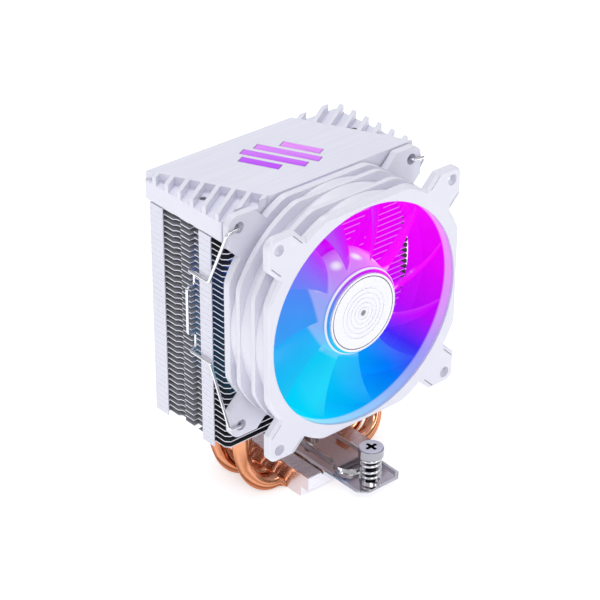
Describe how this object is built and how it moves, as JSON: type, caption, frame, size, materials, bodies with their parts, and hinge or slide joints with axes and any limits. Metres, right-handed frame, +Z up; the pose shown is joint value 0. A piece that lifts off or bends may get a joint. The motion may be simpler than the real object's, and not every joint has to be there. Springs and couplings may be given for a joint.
{
  "type": "cpu tower cooler",
  "caption": "Processor tower cooler: a finned block on U-shaped heat pipes and a pressed base, with a lit clip-on fan, a ribbed top cover and a cross bar with sprung screws.",
  "frame": {"origin": "centre of the face that touches the processor", "axes": "+Z up the tower, +X across the fins, +Y from the fan through the fins, the way the air goes"},
  "size_m": [0.0972, 0.099, 0.1267],
  "materials": {
    "base_metal": "satin",
    "pipe_copper": "polished",
    "fin_white": "satin",
    "cover_white": "satin",
    "inlay": "gloss",
    "circuit_board": "satin",
    "led": "gloss",
    "screw_steel": "satin",
    "bright_nickel": "polished",
    "frame_white": "satin",
    "light_guide": "satin",
    "rotor_milky": "satin",
    "bearing_bronze": "satin",
    "core_steel": "satin",
    "coil_wire": "gloss",
    "magnet_black": "matte"
  },
  "bodies": {
    "cooler": {"base_block": "base_metal", "heat_pipe_1": "pipe_copper", "heat_pipe_2": "pipe_copper", "heat_pipe_3": "pipe_copper", "heat_pipe_4": "pipe_copper", "fin_stack": "fin_white", "end_plate": "fin_white", "top_cover": "cover_white", "cover_lens": "inlay", "cover_light_board": "circuit_board", "motor_board": "circuit_board", "cover_leds": "led", "fan_leds": "led", "cover_screws": "screw_steel", "bar_screws": "screw_steel", "mounting_bar": "bright_nickel", "screw_spring_front": "bright_nickel", "screw_spring_rear": "bright_nickel", "screw_washer_front": "bright_nickel", "screw_washer_rear": "bright_nickel", "fan_front_flange": "frame_white", "fan_duct": "frame_white", "fan_rear_frame": "frame_white", "bearing_cap": "frame_white", "duct_light_ring": "light_guide", "bearing_sleeve": "bearing_bronze", "stator_core": "core_steel", "stator_coils": "coil_wire"},
    "rotor": {"impeller": "rotor_milky", "hub_cap": "frame_white", "rotor_yoke": "core_steel", "magnet_ring": "magnet_black", "rotor_shaft": "core_steel", "shaft_clip": "screw_steel"},
    "front_screw_carrier": {"retaining_ring_front": "screw_steel"},
    "front_screw": {"spring_screw_front": "screw_steel"},
    "rear_screw_carrier": {"retaining_ring_rear": "screw_steel"},
    "rear_screw": {"spring_screw_rear": "screw_steel"},
    "left_clip": {"wire_clip_left": "bright_nickel"},
    "right_clip": {"wire_clip_right": "bright_nickel"}
  },
  "joints": [
    {"name": "fan_spin", "type": "hinge", "parent": "cooler", "child": "rotor", "pos_m": [0, -0.0258, 0.0804], "axis": [0, 1, 0], "continuous": true},
    {"name": "front_screw_press", "type": "slide", "parent": "cooler", "child": "front_screw_carrier", "axis": [0, 0, -1], "range_m": [0, 0.003], "stiffness_N_per_m": 800, "deforming": ["screw_spring_front"]},
    {"name": "front_screw_turn", "type": "hinge", "parent": "front_screw_carrier", "child": "front_screw", "pos_m": [0, -0.0421, 0.02], "axis": [0, 0, 1], "continuous": true},
    {"name": "rear_screw_press", "type": "slide", "parent": "cooler", "child": "rear_screw_carrier", "axis": [0, 0, -1], "range_m": [0, 0.003], "stiffness_N_per_m": 800, "deforming": ["screw_spring_rear"]},
    {"name": "rear_screw_turn", "type": "hinge", "parent": "rear_screw_carrier", "child": "rear_screw", "pos_m": [0, 0.0421, 0.02], "axis": [0, 0, 1], "continuous": true},
    {"name": "left_clip_swing", "type": "hinge", "parent": "cooler", "child": "left_clip", "pos_m": [-0.04125, -0.0167, 0.0804], "axis": [0, 0, 1], "range_deg": [0, 25]},
    {"name": "right_clip_swing", "type": "hinge", "parent": "cooler", "child": "right_clip", "pos_m": [0.04125, -0.0167, 0.0804], "axis": [0, 0, -1], "range_deg": [0, 25]}
  ]
}
